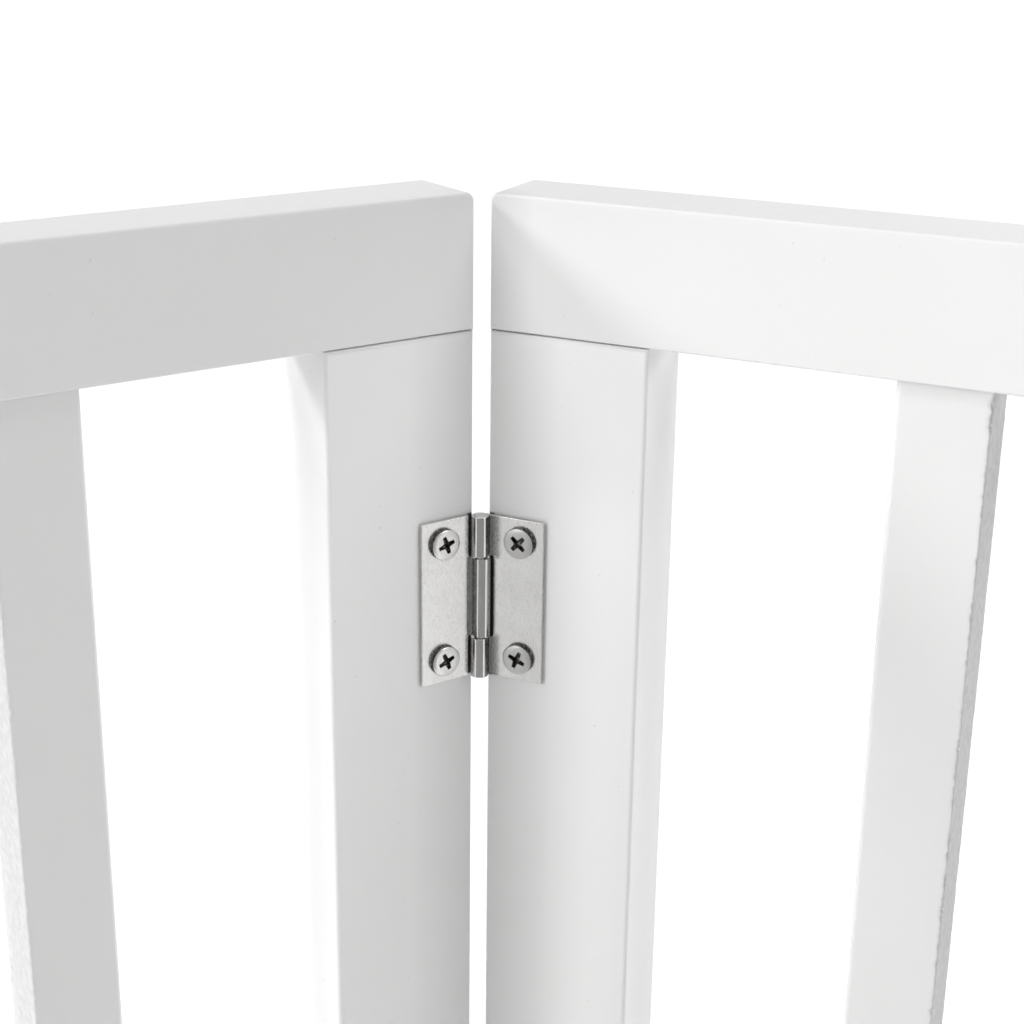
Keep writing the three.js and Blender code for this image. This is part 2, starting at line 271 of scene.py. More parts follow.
def white_paint(name, tone, fibre, fold_shade=None, reach=FOLD_SHADE_REACH):
    """Satin white sprayed on fibreboard. fibre is how deep the board's fuzz shows through, in metres.

    Boards that end at the fold are painted greyer there, as painted shade: fold_shade times as light next to
    it, and as white as elsewhere at reach metres from it."""
    shader = Shader(name, IOR=1.46)
    cloudy = shader.spread(shader.noise(60 * MM, 2.0), 0.0, 1.0)
    colour = shader.blend(cloudy, grey(tone - 0.01, 0.003), grey(tone + 0.01, 0.001))
    nibs = shader.spread(shader.noise(0.8 * MM, 0.0), 0.0, 1.0, 0.87, 0.9)
    colour = shader.blend(nibs, colour, grey(0.64))
    if fold_shade:
        away, height = from_fold(shader)
        # Painted shade: greyer towards the fold, where the other panel shades the boards.
        fold_shaded = shader.spread(away, 1.0, 0.0, FOLD_SHADE_START, reach)
        colour = shader.blend(fold_shaded, colour, grey(fold_shade * tone, 0.002))
        # Painted shade: the sliver of stile behind the knuckles is painted black.
        colour = shader.blend(slot_shade(shader, away, height), colour, grey(0.03))
    roughness = shader.spread(shader.noise(3 * MM, 4.0), 0.42, 0.54)
    waves = shader.bump(shader.noise(14 * MM, 1.0), 0.03 * MM)
    peel = shader.bump(shader.noise(0.9 * MM, 2.0), 0.006 * MM, waves)
    fuzz = shader.bump(shader.noise(0.5 * MM, 5.0, 0.65), fibre, peel)
    return shader.finish(colour, roughness, fuzz)


def sawn_paint(name, low, high):
    """The same paint where the sawn side of a slat drank it in: duller, mottled and a little rough."""
    shader = Shader(name, IOR=1.46)
    mottle = shader.spread(shader.noise(1.8 * MM, 5.0, 0.66), 0.0, 1.0, 0.36, 0.62)
    colour = shader.blend(mottle, grey(low, 0.002), grey(high, 0.001))
    roughness = shader.spread(shader.noise(2 * MM, 4.0), 0.5, 0.68)
    torn = shader.noise(0.7 * MM, 5.0, 0.6, shader.stretched((1, 1, 0.35)))
    return shader.finish(colour, roughness, shader.bump(torn, 0.03 * MM))


def plated_steel(name, tone, brushed, rough_low, rough_high, roll_shade=None):
    """Nickel-plated steel with fine brushing along Z, faint stains and a few scuffs.

    roll_shade is the pair of distances along the panel between which the painted shade by the roll gives way
    to metal."""
    shader = Shader(name, Metallic=1.0)
    grain = shader.noise(0.12 * MM, 3.0, 0.6, shader.stretched((1, 1, brushed)))
    stains = shader.noise(5 * MM, 5.0, 0.6)
    dulled = shader.spread(stains, 0.0, 1.0, 0.4, 0.75)
    colour = shader.blend(dulled, grey(tone, 0.008), grey(0.95 * tone, 0.015))
    if roll_shade:
        # Painted shade: the plate darkens towards its roll.
        along = shader.math("ABSOLUTE", shader.part("X"), 0.0)
        colour = shader.blend(shader.spread(along, 1.0, 0.0, *roll_shade), colour, grey(0.42 * tone, 0.01))
    streaky = shader.spread(grain, rough_low, rough_high)
    roughness = shader.math("ADD", streaky, shader.math("MULTIPLY", dulled, 0.03))
    return shader.finish(colour, roughness, shader.bump(grain, 0.0012 * MM))


def shade_and_grime_steel(name):
    """Steel painted near black, as painted shade with some grime, showing a brownish grey in places."""
    shader = Shader(name, Metallic=1.0)
    worn = shader.spread(shader.noise(0.6 * MM, 3.0, 0.6), 0.0, 1.0, 0.5, 0.62)
    colour = shader.blend(worn, grey(0.05), grey(0.3, 0.08))
    roughness = shader.spread(shader.noise(0.5 * MM, 3.0), 0.42, 0.6)
    return shader.finish(colour, roughness, shader.bump(worn, 0.01 * MM))


def bare_beech():
    """Dowel wood, streaked along its length and flecked."""
    shader = Shader("dowel_beech_turned", Roughness=0.68)
    streaks = shader.noise(1.5 * MM, 4.0, 0.6, shader.stretched((1, 1, 0.2)))
    tint = shader.spread(streaks, 0.0, 1.0)
    colour = shader.blend(tint, (0.62, 0.43, 0.25, 1.0), (0.74, 0.56, 0.36, 1.0))
    return shader.finish(colour, None, shader.bump(streaks, 0.05 * MM))


def foot_rubber():
    """Dusty grey rubber with a fine moulded grain."""
    shader = Shader("foot_rubber_moulded")
    dust = shader.spread(shader.noise(4 * MM, 4.0), 0.0, 1.0)
    colour = shader.blend(dust, grey(0.20), grey(0.27, 0.01))
    roughness = shader.spread(shader.noise(1 * MM), 0.72, 0.9)
    return shader.finish(colour, roughness, shader.bump(shader.noise(0.4 * MM), 0.02 * MM))


SMOOTH_FUZZ = 0.002 * MM
SLAT_FUZZ = 0.008 * MM
# The stiles are painted a lighter white than the rails, as painted light; both are the same paint.
PAINT_RAIL = {
    "left": white_paint("white_paint_left_rails", 0.73, SMOOTH_FUZZ, fold_shade=0.97),
    "right": white_paint("white_paint_right_rails", 0.735, SMOOTH_FUZZ, fold_shade=0.81, reach=11 * MM),
}
PAINT_STILE = {
    "left": white_paint("white_paint_left_stiles", 0.80, SMOOTH_FUZZ, fold_shade=0.83),
    "right": white_paint("white_paint_right_stiles", 0.79, SMOOTH_FUZZ, fold_shade=0.78),
}
PAINT_SLAT = white_paint("white_paint_slats", 0.72, SLAT_FUZZ)
# The right panel's sawn sides are darker than the left's.
PAINT_SAWN = {
    "left": sawn_paint("white_paint_left_sawn", 0.64, 0.74),
    "right": sawn_paint("white_paint_right_sawn", 0.46, 0.56),
}
# Painted reflection: both leaves are the same steel, painted lighter on the left and darker on the right for
# what each one reflects.
LEAF_STEEL = {
    "left": plated_steel("leaf_steel_left_lit", 0.79, 0.1, 0.2, 0.3),
    "right": plated_steel("leaf_steel_right_shaded", 0.68, 0.1, 0.2, 0.3),
}
# The crooks carry the same painted reflection: lighter on the left, darker on the right.
CROOK_STEEL = {
    "left": plated_steel("crook_steel_left", 0.79, 0.1, 0.2, 0.3, roll_shade=(2.55 * MM, 2.7 * MM)),
    "right": plated_steel("crook_steel_right", 0.68, 0.1, 0.2, 0.3, roll_shade=(2.2 * MM, 3.8 * MM)),
}
PIN_STEEL = plated_steel("pin_steel", 0.66, 1.0, 0.3, 0.45)
BARREL_STEEL = plated_steel("barrel_steel_burnished", 0.7, 0.1, 0.12, 0.17)
# The right leaf's screws are darker and rougher than the left's.
SCREW_STEEL = {
    "left": plated_steel("screw_steel_bright", 0.74, 1.0, 0.2, 0.3),
    "right": plated_steel("screw_steel_right_darker", 0.55, 1.0, 0.3, 0.48),
}
# Near black for the screws' recesses and flanks: painted shade, with some grime.
RECESS_STEEL = shade_and_grime_steel("recess_steel")
BEECH = bare_beech()
RUBBER = foot_rubber()

# ---- Boards and dowels: the CAD solids, with soft edges and paint -----------------------------------------


def dress(node, material):
    """Gives a CAD solid its finish, and shades its eased edges smooth."""
    piece = frame["nodes"][node]
    piece.material_slots[0].material = material
    mesh = piece.data
    imported = mesh.attributes.get("custom_normal")
    if imported:
        mesh.attributes.remove(imported)
    mesh.polygons.foreach_set("use_smooth", [True] * len(mesh.polygons))
    weld = piece.modifiers.new("weld", "WELD")
    weld.merge_threshold = 0.001 * MM
    split = piece.modifiers.new("split", "EDGE_SPLIT")
    split.split_angle = math.radians(40)
    normals = piece.modifiers.new("normals", "WEIGHTED_NORMAL")
    normals.keep_sharp = True


def dress_boards():
    for side in SIGNS:
        for place in ("top", "bottom"):
            dress(f"{side}_{place}_rail", PAINT_RAIL[side])
        for place in ("hinge", "outer"):
            dress(f"{side}_{place}_stile", PAINT_STILE[side])
        for place in ("top", "bottom"):
            for i in range(1, 5):
                dress(f"{side}_{place}_dowel_{i}", BEECH)


# ---- Slats ------------------------------------------------------------------------------------------------

SLAT_EASE = 1.2 * MM
SLAT_CRISP = 0.45 * MM  # the ease of the edges that face away from the hinge
SLAT_CORNER_STEPS = 6
SLAT_STEP = 0.5 * MM
SAWN_FACING = 0.85  # how squarely a face looks along the panel to count as a slat's sawn side
NIBBLE_DEPTH = 0.5 * MM
TORN_REACH = 0.8 * MM  # how far on to the flats a torn edge reaches
FRONT_TORN = 1.0
REAR_TORN = 0.2
# Each kind of tear: how long it is, how fast it changes along the panel, and how much it counts
TEARS = ((6 * MM, 40, 0.35), (1.3 * MM, 60, 0.9), (0.6 * MM, 60, 0.5))
TORN_ANYWHERE = 0.25


def slat_section(low, high):
    """The slat's outline as points (x, y, how ragged the point is).

    The edges that face away from the hinge were left crisp and a little torn, and the others were rounded
    over. A torn edge has a sound point on each side of it, so that the flats beyond stay flat."""
    middle = (low + high) / 2
    points = []
    for sx, sy, start in ((1, -1, -90), (1, 1, 0), (-1, 1, 90), (-1, -1, 180)):
        outwards = sx * math.copysign(1, middle.x) > 0
        ease = SLAT_CRISP if outwards else SLAT_EASE
        corner = (
            middle.x + sx * ((high.x - low.x) / 2 - ease),
            middle.y + sy * ((high.y - low.y) / 2 - ease),
        )
        line = arc(corner, ease, start, start + 90, SLAT_CORNER_STEPS)
        if outwards:
            before, after = math.radians(start - 90), math.radians(start + 180)
            first, last = line[0], line[-1]
            guard = (first[0] + TORN_REACH * math.cos(before), first[1] + TORN_REACH * math.sin(before))
            end = (last[0] + TORN_REACH * math.cos(after), last[1] + TORN_REACH * math.sin(after))
            torn = [(x, y, FRONT_TORN if sy < 0 else REAR_TORN) for x, y in line]
            points += [(*guard, 0.0), *torn, (*end, 0.0)]
        else:
            points += [(x, y, 0.0) for x, y in line]
    return points


def nibbled(point, middle, ragged, seed):
    """Moves a point inwards by the fibres that tore out of the edge there."""
    x, y, z = point
    torn = TORN_ANYWHERE
    for apart, (length, across, weight) in zip((0, 9, 21), TEARS):
        torn += weight * noise.noise(Vector((seed + apart, across * x, z / length)))
    bite = max(0.0, torn) * ragged * NIBBLE_DEPTH
    inwards = Vector((middle.x - x, middle.y - y, 0)).normalized()
    return Vector(point) + inwards * bite


def build_slat(side, number):
    node = f"{side}_slat_{number}"
    low, high = panel_box(node, side)
    middle = (low + high) / 2
    section = slat_section(low, high)
    steps = round((high.z - low.z) / SLAT_STEP)
    seed = number * 7.3 + (50 if side == "left" else 0)
    rings = []
    for i in range(steps + 1):
        z = low.z + (high.z - low.z) * i / steps
        rings.append([nibbled((x, y, z), middle, ragged, seed) for x, y, ragged in section])
    bm = bmesh.new()
    loft(bm, rings)
    piece = mesh_piece(f"{side}_slat_{number}_sanded", bm, side, node, PAINT_SLAT)
    piece.data.materials.append(PAINT_SAWN[side])
    for face in piece.data.polygons:
        if abs(face.normal.x) > SAWN_FACING:
            face.material_index = 1
    shade_smooth(piece, 60)
    normals = piece.modifiers.new("normals", "WEIGHTED_NORMAL")
    normals.keep_sharp = True


# ---- Hinge leaves -----------------------------------------------------------------------------------------

SHEET = 0.8 * MM
BARREL = 2.0 * MM  # the outer radius of the rolled knuckles
SLOP = 0.22 * MM  # how far each knuckle's middle lies past the pin's, away from its own plate
ROLL_STEPS = 30
ROLL_MARGIN = 0.1 * MM  # past the barrel's outside, where a face still counts as the roll's
ROLL_END = 395  # degrees round from the plate, where the rolled sheet comes back to meet it
NOTCH_EDGE = 2.45 * MM  # from the pin's axis
FILLET_TOP = (1.6 * MM, 0.5 * MM)  # where the plate has risen to meet the roll, and by how much
FILLET_START = {"left": 2.7 * MM, "right": 4.6 * MM}
FILLET_POWER = {"left": 1.0, "right": 2.2}
FILLET_STEPS = 8
CREASE = 0.14 * MM  # deep, and twice as wide, where the left leaf's roll was pressed off its plate
FILLET_FADE = 1.4 * MM  # up or down from a knuckle, past the notch's corner
FADE_STEPS = 4
LEAF_BEVEL = 0.2 * MM
HOLE_RADIUS = 1.85 * MM
HOLE_CUTTER = 3 * MM  # how far the cutter reaches on each side of the sheet
KNUCKLE_GAP = 0.24 * MM  # each side of a joint between knuckles


def leaf_layout(hinge, side):
    """The leaf's sizes in its panel's frame: the plate's rear face, the free edge and the ends."""
    low, high = panel_box(f"{hinge}_{side}_leaf", side)
    return {"rear": high.y, "reach": max(abs(low.x), abs(high.x)), "low": low.z, "high": high.z}


def fillet_rise(x, side):
    """How far the plate's front stands up towards the roll, at a distance from the axis."""
    start = FILLET_START[side]
    near, rise = FILLET_TOP
    if side == "left" and abs(start - CREASE - x) < 0.1 * CREASE:
        return -CREASE
    along = min(1.0, max(0.0, (start - x) / (start - near)))
    return rise * along ** FILLET_POWER[side]


def sheet_lines(layout, side):
    """Stations along the sheet's middle, from free edge to the end of the roll: place, normal and rise."""
    mid = BARREL - SHEET / 2
    plate = layout["rear"] - SHEET / 2
    start, near = FILLET_START[side], FILLET_TOP[0]
    marks = {layout["reach"], start, NOTCH_EDGE, near}
    if side == "left":
        marks |= {start - CREASE, start - 2 * CREASE, NOTCH_EDGE - CREASE}
    else:
        marks |= {near + (start - near) * i / FILLET_STEPS for i in range(FILLET_STEPS)}
    stations = [((x, plate), (0.0, 1.0), fillet_rise(x, side)) for x in sorted(marks, reverse=True)]
    stations.append(((near - 0.1 * MM, plate), (0.0, 1.0), 0.0))
    for i in range(ROLL_STEPS + 1):
        angle = math.radians(90 + (ROLL_END - 90) * i / ROLL_STEPS)
        away = (math.cos(angle), math.sin(angle))
        stations.append(((mid * away[0] - SLOP, mid * away[1]), away, 0.0))
    return stations


def knuckle_spans(layout, side):
    """The heights that a leaf's knuckles span: the middle one on the left leaf, the others on the right."""
    low, high = layout["low"], layout["high"]
    quarter = (high - low) / 4
    if side == "left":
        return [(low + quarter + KNUCKLE_GAP, high - quarter - KNUCKLE_GAP)]
    return [(low, low + quarter - KNUCKLE_GAP), (high - quarter + KNUCKLE_GAP, high)]


def leaf_sheet(layout, side):
    """The bent sheet as a closed mesh: a plate as tall as the leaf, rolled up at the knuckles' heights."""
    stations = sheet_lines(layout, side)
    spans = knuckle_spans(layout, side)
    ends = {z for span in spans for z in span}
    steps = range(-FADE_STEPS, FADE_STEPS + 1)
    fades = {z + FILLET_FADE * k / FADE_STEPS for z in ends for k in steps}
    within = {z for z in fades if layout["low"] < z < layout["high"]}
    levels = sorted({layout["low"], layout["high"], *ends, *within})
    notch = next(i for i, (place, _, _) in enumerate(stations) if place[0] == NOTCH_EDGE)
    bm = bmesh.new()
    grid = {}

    def fade(z):
        """1 at a knuckle's height, easing to 0 beyond it."""
        past = min(max(low - z, z - high, 0.0) for low, high in spans)
        return (1 + math.cos(math.pi * min(1.0, past / FILLET_FADE))) / 2

    for i, ((x, y), (nx, ny), rise) in enumerate(stations):
        for j, z in enumerate(levels):
            raised = SHEET / 2 + rise * fade(z)
            for face, offset in (("out", SHEET / 2), ("in", -raised)):
                grid[i, j, face] = bm.verts.new((x + nx * offset, y + ny * offset, z))

    def filled(i, j):
        if not (0 <= i < len(stations) - 1 and 0 <= j < len(levels) - 1):
            return False
        middle = (levels[j] + levels[j + 1]) / 2
        return i < notch or any(low < middle < high for low, high in spans)

    def wall(a, b):
        bm.faces.new((grid[(*a, "out")], grid[(*b, "out")], grid[(*b, "in")], grid[(*a, "in")]))

    for i in range(len(stations) - 1):
        for j in range(len(levels) - 1):
            if not filled(i, j):
                continue
            corners = [(i, j), (i + 1, j), (i + 1, j + 1), (i, j + 1)]
            for face in ("out", "in"):
                bm.faces.new([grid[(*corner, face)] for corner in corners])
            neighbours = [(i, j - 1), (i + 1, j), (i, j + 1), (i - 1, j)]
            for k, neighbour in enumerate(neighbours):
                if not filled(*neighbour):
                    wall(corners[k], corners[(k + 1) % 4])
    bmesh.ops.delete(bm, geom=[v for v in bm.verts if not v.link_faces], context="VERTS")
    return bm


def mirror_left(bm, side):
    """Turns a shape drawn for the right panel into the left panel's."""
    if side == "left":
        bmesh.ops.scale(bm, vec=(-1, 1, 1), verts=bm.verts)


def cut(piece, cutters):
    """Subtracts the cutters, bmeshes in the piece's own frame, and keeps the result as the mesh."""
    for bm in cutters:
        bmesh.ops.recalc_face_normals(bm, faces=bm.faces)
        mesh = bpy.data.meshes.new("cutter")
        bm.to_mesh(mesh)
        bm.free()
        cutter = bpy.data.objects.new("cutter", mesh)
        bpy.context.scene.collection.objects.link(cutter)
        cutter.matrix_world = piece.matrix_world
        boolean = piece.modifiers.new("cut", "BOOLEAN")
        boolean.operation = "DIFFERENCE"
        boolean.solver = "EXACT"
        boolean.object = cutter
        bpy.context.view_layer.update()
        shown = piece.evaluated_get(bpy.context.evaluated_depsgraph_get())
        made = bpy.data.meshes.new_from_object(shown)
        piece.modifiers.remove(boolean)
        piece.data = made
        bpy.data.objects.remove(cutter)
        bpy.data.meshes.remove(mesh)


def round_hole(x, y, z, side):
    bm = bmesh.new()
    lie_along_y = Matrix.Translation((SIGNS[side] * x, y, z)) @ Matrix.Rotation(math.pi / 2, 4, "X")
    far = HOLE_CUTTER
    turned(bm, [(0, -far), (HOLE_RADIUS, -far), (HOLE_RADIUS, far), (0, far)], 24, lie_along_y)
    return bm


def soften(piece, width, angle=35, segments=2):
    """Rounds the sharp edges by width metres, and shades the result smooth."""
    bevel = piece.modifiers.new("bevel", "BEVEL")
    bevel.width = width
    bevel.segments = segments
    bevel.limit_method = "ANGLE"
    bevel.angle_limit = math.radians(angle)
    normals = piece.modifiers.new("normals", "WEIGHTED_NORMAL")
    normals.keep_sharp = True


def build_leaf(hinge, side):
    layout = leaf_layout(hinge, side)
    bm = leaf_sheet(layout, side)
    mirror_left(bm, side)
    node = f"{hinge}_{side}_leaf"
    piece = mesh_piece(node + "_rolled", bm, side, node, LEAF_STEEL[side])
    holes = []
    for end in ("top", "bottom"):
        low, high = panel_box(f"{hinge}_{side}_screw_{end}", side)
        middle = (low + high) / 2
        holes.append(round_hole(abs(middle.x), layout["rear"], middle.z, side))
    cut(piece, holes)
    piece.data.materials.append(BARREL_STEEL)
    piece.data.materials.append(CROOK_STEEL[side])
    for face in piece.data.polygons:
        centre = face.center
        rolled = math.hypot(centre.x, centre.y) < BARREL + SLOP + ROLL_MARGIN
        by_knuckle = any(low < centre.z < high for low, high in knuckle_spans(layout, side))
        if abs(centre.x) < FILLET_TOP[0] and rolled:
            face.material_index = 1
        elif abs(centre.x) < FILLET_START[side] and by_knuckle:
            face.material_index = 2
    shade_smooth(piece, 35)
    soften(piece, LEAF_BEVEL)


# ---- Pins -------------------------------------------------------------------------------------------------

PIN_RADIUS = 0.95 * MM
PIN_HEAD_RADIUS = 1.6 * MM
PIN_DOME = 0.34 * MM
PIN_NECK = 0.02 * MM  # between the dome's rim and the pin
DOME_STEPS = 7
DOME_FULLNESS = 0.7  # under 1, the dome is fuller than an ellipse


def build_pin(hinge):
    """The pin, its ends peened over the knuckles into low domes."""
    node = hinge + "_pin"
    low, high = panel_box(node, "right")
    angles = [math.pi / 2 * i / DOME_STEPS for i in range(DOME_STEPS)]
    rise = [(PIN_HEAD_RADIUS * math.cos(a) ** DOME_FULLNESS, PIN_DOME * math.sin(a)) for a in angles]
    profile = [(0, low.z)] + [(r, low.z + PIN_DOME - h) for r, h in reversed(rise)]
    profile += [(PIN_RADIUS, low.z + PIN_DOME + PIN_NECK), (PIN_RADIUS, high.z - PIN_DOME - PIN_NECK)]
    profile += [(r, high.z - PIN_DOME + h) for r, h in rise] + [(0, high.z)]
    bm = bmesh.new()
    turned(bm, profile, 40)
    piece = mesh_piece(node + "_peened", bm, "right", node, PIN_STEEL)
    shade_smooth(piece)


# ---- Screws -----------------------------------------------------------------------------------------------

HEAD_RIM = 0.35 * MM
UNDERCUT = ((0.3 * MM, 0.03 * MM), (0.08 * MM, 0.3 * MM), (0, 0.6 * MM))  # in from the rim, up from the seat
CROWN = ((0.6, 0.03 * MM), (0.3, 0.006 * MM), (0, 0))  # a share of the radius, and down from the top
FLANK_FACING = 0.45  # a flank's faces look outwards at least this squarely
THREAD_PITCH = 1.3 * MM
THREAD_DEPTH = 0.35 * MM
THREAD_SIDES = 20
THREAD_ROWS = 7  # in each turn
THREAD_CREST = 0.22  # half a crest's width, in turns
SHANK_ROOT = 1.3 * MM
SHANK_POINT = 4 * MM
CROSS_HALF = 2.05 * MM
CROSS_ARM = 0.42 * MM
CROSS_HEART = 1.45  # how much wider than an arm the cross is at its middle
CROSS_DEEP = 1.5 * MM
RECESS_MARGIN = 1.02  # how much wider than the cross its faces can lie
RECESS_TOP = 0.03 * MM  # below the crown
UNDERSIDE_FACING = -0.5  # the faces that look further down than this are the head's underside
# How far each screw is turned, in degrees: the upper hinge's top and bottom ones, then the lower hinge's
DRIVEN = {"left": (18, 22, 9, 30), "right": (47, 68, 35, 12)}


def cross_ring(half, arm, depth):
    """The twelve corners of a cross."""
    signs = ((1, 1), (-1, 1), (-1, -1), (1, -1))
    ring = []
    for k, (sx, sy) in enumerate(signs):
        heart = CROSS_HEART * arm
        tips = [(half * sx, arm * sy), (heart * sx, heart * sy), (arm * sx, half * sy)]
        ring += tips if k % 2 == 0 else list(reversed(tips))
    return [Vector((x, y, depth)) for x, y in ring]


def thread(bm, length, root, point):
    """A threaded shank along -Z from 0, tapering to a point at its far end."""
    rows = round(length / (THREAD_PITCH / THREAD_ROWS))
    rings = []
    for i in range(rows + 1):
        z = length * i / rows
        taper = min(1.0, (length - z) / point)
        ring = []
        for k in range(THREAD_SIDES):
            angle = 2 * math.pi * k / THREAD_SIDES
            phase = (z / THREAD_PITCH - k / THREAD_SIDES) % 1.0
            crest = max(0.0, 1 - abs(phase - 0.5) / THREAD_CREST)
            radius = (root + THREAD_DEPTH * crest) * max(taper, 0.04)
            ring.append(Vector((radius * math.cos(angle), radius * math.sin(angle), -z)))
        rings.append(ring)
    loft(bm, rings)


def darken_recess(piece, lay, height):
    """Paints the driver's recess and the head's flank near black, as painted shade with some grime."""
    back = lay.inverted()
    turn = back.to_3x3()
    piece.data.materials.append(RECESS_STEEL)
    for face in piece.data.polygons:
        centre = back @ face.center
        facing = (turn @ face.normal).z
        inside = max(abs(centre.x), abs(centre.y)) < RECESS_MARGIN * CROSS_HALF
        recess = inside and centre.z < height - RECESS_TOP and facing > UNDERSIDE_FACING
        if recess or facing < FLANK_FACING and centre.z > 0:
            face.material_index = 1


def build_screw(hinge, side, end, driven):
    """A pan-head cross-recess wood screw, drawn with its head up and then laid into the panel."""
    node = f"{hinge}_{side}_screw_{end}"
    low, high = panel_box(node, side)
    radius = (high.z - low.z) / 2
    front, tip = low.y, high.y
    seat = panel_box(f"{hinge}_{side}_leaf", side)[1].y - SHEET
    height = seat - front
    centre = Vector(((low.x + high.x) / 2, 0, (low.z + high.z) / 2))

    rim = arc((radius - HEAD_RIM, height - HEAD_RIM), HEAD_RIM, 0, 75, 5)
    crown = [(share * radius, height - drop) for share, drop in CROWN]
    under = [(radius - inset, rise) for inset, rise in UNDERCUT]
    bm = bmesh.new()
    turned(bm, [(0, under[0][1]), *under, *rim, *crown], 56)
    turn = Matrix.Rotation(math.radians(driven), 4, "Z")
    lay = Matrix.Translation(centre + Vector((0, seat, 0))) @ Matrix.Rotation(math.pi / 2, 4, "X") @ turn
    bm.transform(lay)
    piece = mesh_piece(node + "_pan_head", bm, side, node, SCREW_STEEL[side])

    recess = bmesh.new()
    over = 0.2 * MM
    flare = 0.06 * MM
    loft(
        recess,
        [
            cross_ring(0.5 * CROSS_HALF, 0.8 * CROSS_ARM, height - CROSS_DEEP),
            cross_ring(0.94 * CROSS_HALF, CROSS_ARM, height - 0.5 * CROSS_DEEP),
            cross_ring(CROSS_HALF, CROSS_ARM, height),
            cross_ring(CROSS_HALF + flare, CROSS_ARM + flare, height + over),
        ],
    )
    recess.transform(lay)
    cut(piece, [recess])
    darken_recess(piece, lay, height)

    shank = bmesh.new()
    shank.from_mesh(piece.data)
    before = set(shank.verts)
    head_faces = set(shank.faces)
    thread(shank, tip - seat, SHANK_ROOT, SHANK_POINT)
    for face in shank.faces:
        if face not in head_faces:
            face.material_index = 1
    bmesh.ops.transform(shank, matrix=lay, verts=[v for v in shank.verts if v not in before])
    bmesh.ops.recalc_face_normals(shank, faces=shank.faces)
    shank.to_mesh(piece.data)
    shank.free()
    shade_smooth(piece, 38)


# ---- Feet -------------------------------------------------------------------------------------------------

FOOT_ROUND = 0.9 * MM
FOOT_DISH = ((0, 0.35 * MM), (0.45, 0.3 * MM), (0.55, 0))  # a share of the radius, and up from the floor
FOOT_LIP = (0.25 * MM, 0.3 * MM)  # across and down


def build_foot(side, place):
    """A stick-on rubber foot with a rounded lower edge and a shallow dish underneath."""
    node = f"{side}_{place}_foot"
    low, high = panel_box(node, side)
    radius = (high.x - low.x) / 2
    middle = (low + high) / 2
    tread = arc((radius - FOOT_ROUND, low.z + FOOT_ROUND), FOOT_ROUND, -90, 0, 8)
    dish = [(share * radius, low.z + rise) for share, rise in FOOT_DISH]
    lip = [(radius, high.z - FOOT_LIP[1]), (radius - FOOT_LIP[0], high.z), (0, high.z)]
    bm = bmesh.new()
    turned(bm, [*dish, *tread, *lip], 48, Matrix.Translation((middle.x, middle.y, 0)))
    piece = mesh_piece(node + "_moulded", bm, side, node, RUBBER)
    shade_smooth(piece, 50)


# ---- The gate ---------------------------------------------------------------------------------------------


def build_gate():
    dress_boards()
    for side in SIGNS:
        for number in range(1, 6):
            build_slat(side, number)
        for place in ("inner", "outer"):
            build_foot(side, place)
        for h, hinge in enumerate(HINGES):
            build_leaf(hinge, side)
            for e, end in enumerate(("top", "bottom")):
                build_screw(hinge, side, end, DRIVEN[side][2 * h + e])
    for hinge in HINGES:
        build_pin(hinge)


# ---- Floor, light and camera ------------------------------------------------------------------------------

FLOOR_REACH = 40.0
FLOOR_GLOW = 0.15  # so that the floor behind the gate stays white
CARD_STEPS = 24
LIT_HEIGHT = 500 * MM
CARD_FAR = 600 * MM
FLAG_SPAN = (-49, 46)  # degrees of azimuth, 0 straight in front of the hinge
SWEEP_SPAN = (110, 250)
SWEEP_BOTTOM = 0.45
CARD_TOP = 1.1


def glowing(name, strength, **constants):
    """A surface that also gives off white light."""
    return Shader(name, Emission_Color=(1.0, 1.0, 1.0, 1.0), Emission_Strength=strength, **constants)


def build_floor():
    """A pale floor that runs out to the horizon."""
    bm = bmesh.new()
    reach = FLOOR_REACH
    corners = [(-reach, -reach), (reach, -reach), (reach, reach), (-reach, reach)]
    bm.faces.new([bm.verts.new((x, y, 0)) for x, y in corners])
    mesh = bpy.data.meshes.new("floor")
    bm.to_mesh(mesh)
    bm.free()
    floor = bpy.data.objects.new("floor", mesh)
    bpy.context.scene.collection.objects.link(floor)
    shader = glowing("floor_pale", FLOOR_GLOW, Roughness=0.9, Specular_IOR_Level=0.0)
    mesh.materials.append(shader.finish(colour=grey(0.9)))


def card(name, bm, material):
    """A card round the gate that only polished surfaces show, as they would the room."""
    mesh = bpy.data.meshes.new(name)
    bm.to_mesh(mesh)
    bm.free()
    piece = bpy.data.objects.new(name, mesh)
    bpy.context.scene.collection.objects.link(piece)
    mesh.materials.append(material)
    for rays in ("camera", "diffuse", "transmission", "volume_scatter", "shadow"):
        setattr(piece, "visible_" + rays, False)


def curved(span, bottom):
    """An upright sheet bent round the hinge's axis."""
    bm = bmesh.new()
    low, high = (math.radians(a) for a in span)
    rows = []
    for i in range(CARD_STEPS + 1):
        a = low + (high - low) * i / CARD_STEPS
        x, y = AXIS.x + CARD_FAR * math.sin(a), AXIS.y - CARD_FAR * math.cos(a)
        rows.append([bm.verts.new((x, y, z)) for z in (bottom, CARD_TOP)])
    for left, right in zip(rows, rows[1:]):
        bm.faces.new((left[0], right[0], right[1], left[1]))
    return bm


def overhead():
    """A round sheet above the gate."""
    bm = bmesh.new()
    bmesh.ops.create_circle(bm, cap_ends=True, segments=32, radius=CARD_FAR)
    bmesh.ops.translate(bm, vec=AXIS + Vector((0, 0, CARD_TOP + 0.1)), verts=bm.verts)
    return bm


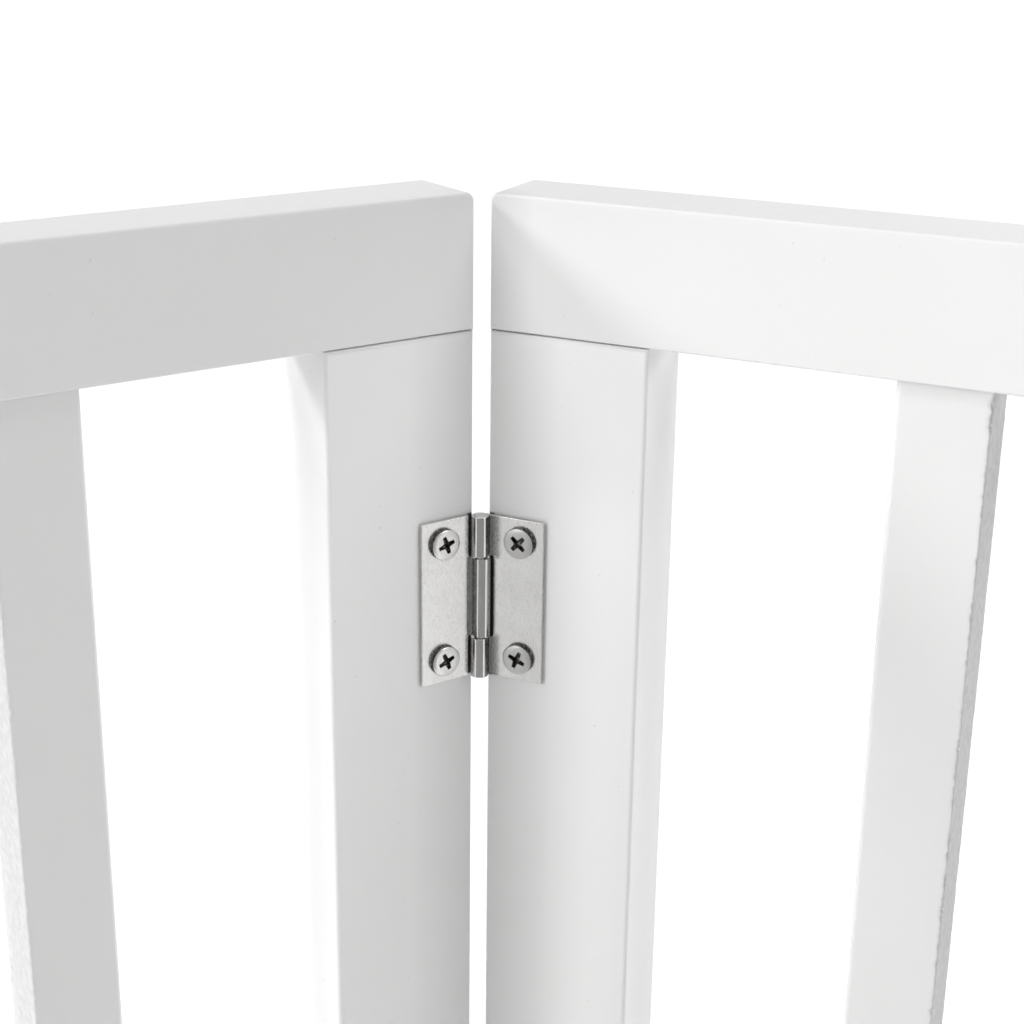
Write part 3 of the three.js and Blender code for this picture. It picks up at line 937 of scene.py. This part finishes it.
def build_cards():
    """Dark where the photographer stands, white behind the gate, as a paper sweep is, and white above."""
    flag = Shader("flag_dark", Roughness=1.0)
    sweep = glowing("sweep_white", 0.55, Roughness=1.0)
    ceiling = glowing("ceiling_white", 0.9, Roughness=1.0)
    card("flag", curved(FLAG_SPAN, 1 * MM), flag.finish(colour=grey(0.29)))
    card("sweep", curved(SWEEP_SPAN, SWEEP_BOTTOM), sweep.finish(colour=grey(0.05)))
    card("ceiling", overhead(), ceiling.finish(colour=grey(0.05)))


def lamp(name, kind, azimuth, elevation, distance):
    """A light aimed at the upper hinge. Azimuth 0 is in front of the gate, and 90 degrees to its right."""
    light = bpy.data.lights.new(name, kind)
    piece = bpy.data.objects.new(name, light)
    bpy.context.scene.collection.objects.link(piece)
    a, e = math.radians(azimuth), math.radians(elevation)
    towards = Vector((math.sin(a) * math.cos(e), -math.cos(a) * math.cos(e), math.sin(e)))
    piece.location = AXIS + Vector((0, 0, LIT_HEIGHT)) + distance * towards
    piece.rotation_mode = "QUATERNION"
    piece.rotation_quaternion = towards.to_track_quat("Z", "Y")
    return light


def far_light(name, azimuth, elevation, spread, strength):
    """A wide light too far off to fall away across the gate, spread degrees across."""
    light = lamp(name, "SUN", azimuth, elevation, 4.0)
    light.energy = strength * math.pi
    light.angle = math.radians(spread)


def near_light(name, azimuth, elevation, distance, width, strength):
    """A square softbox that lights the hinge as strongly as a far light of the same strength would."""
    light = lamp(name, "AREA", azimuth, elevation, distance)
    light.shape = "SQUARE"
    light.size = width
    light.energy = strength * (math.pi * distance) ** 2


def build_world():
    """A white backdrop past the floor's edge, which lights nothing."""
    world = bpy.data.worlds.new("studio")
    bpy.context.scene.world = world
    world.use_nodes = True
    background = world.node_tree.nodes["Background"]
    background.inputs["Color"].default_value = (1.0, 1.0, 1.0, 1.0)
    background.inputs["Strength"].default_value = 1.0
    for rays in ("diffuse", "glossy", "transmission", "scatter"):
        setattr(world.cycles_visibility, rays, False)


CAMERA_FROM_FOLD = Vector((-24.7, -385.4, 67.8)) * MM  # from the hinge axis at the top of the gate
CAMERA_YAW = 4.66
CAMERA_PITCH = 19.55
CAMERA_ROLL = 0.69
SENSOR = 36.0
LENS = 66.1


def build_camera():
    data = bpy.data.cameras.new("camera")
    data.sensor_width = SENSOR
    data.lens = LENS
    data.clip_start, data.clip_end = 0.01, 100.0
    camera = bpy.data.objects.new("camera", data)
    bpy.context.scene.collection.objects.link(camera)
    yaw, pitch, roll = (math.radians(v) for v in (CAMERA_YAW, CAMERA_PITCH, CAMERA_ROLL))
    ahead = Vector((math.sin(yaw) * math.cos(pitch), math.cos(yaw) * math.cos(pitch), -math.sin(pitch)))
    right = Vector((math.cos(yaw), -math.sin(yaw), 0))
    up = right.cross(ahead)
    across = math.cos(roll) * right + math.sin(roll) * up
    upright = math.cos(roll) * up - math.sin(roll) * right
    turn = Matrix((across, upright, -ahead)).transposed().to_4x4()
    camera.matrix_world = Matrix.Translation(AXIS + Vector((0, 0, GATE_TOP)) + CAMERA_FROM_FOLD) @ turn
    bpy.context.scene.camera = camera


def build_studio():
    build_floor()
    build_cards()
    build_world()
    far_light("key", -72, 46, 24, 0.38)
    far_light("key_middle", -66, 34, 22, 0.10)
    far_light("key_side", -82, 17, 9, 0.37)
    far_light("key_low", -58, 12, 16, 0.25)
    far_light("fill", 74, 56, 26, 0.26)
    near_light("fill_low", 57, 28, 1.3, 0.45, 0.25)
    far_light("back_right", 134, 15, 24, 0.76)
    far_light("back_left", -137, 15, 22, 0.33)
    bpy.context.scene.view_settings.view_transform = "Standard"


build_gate()
build_studio()
build_camera()
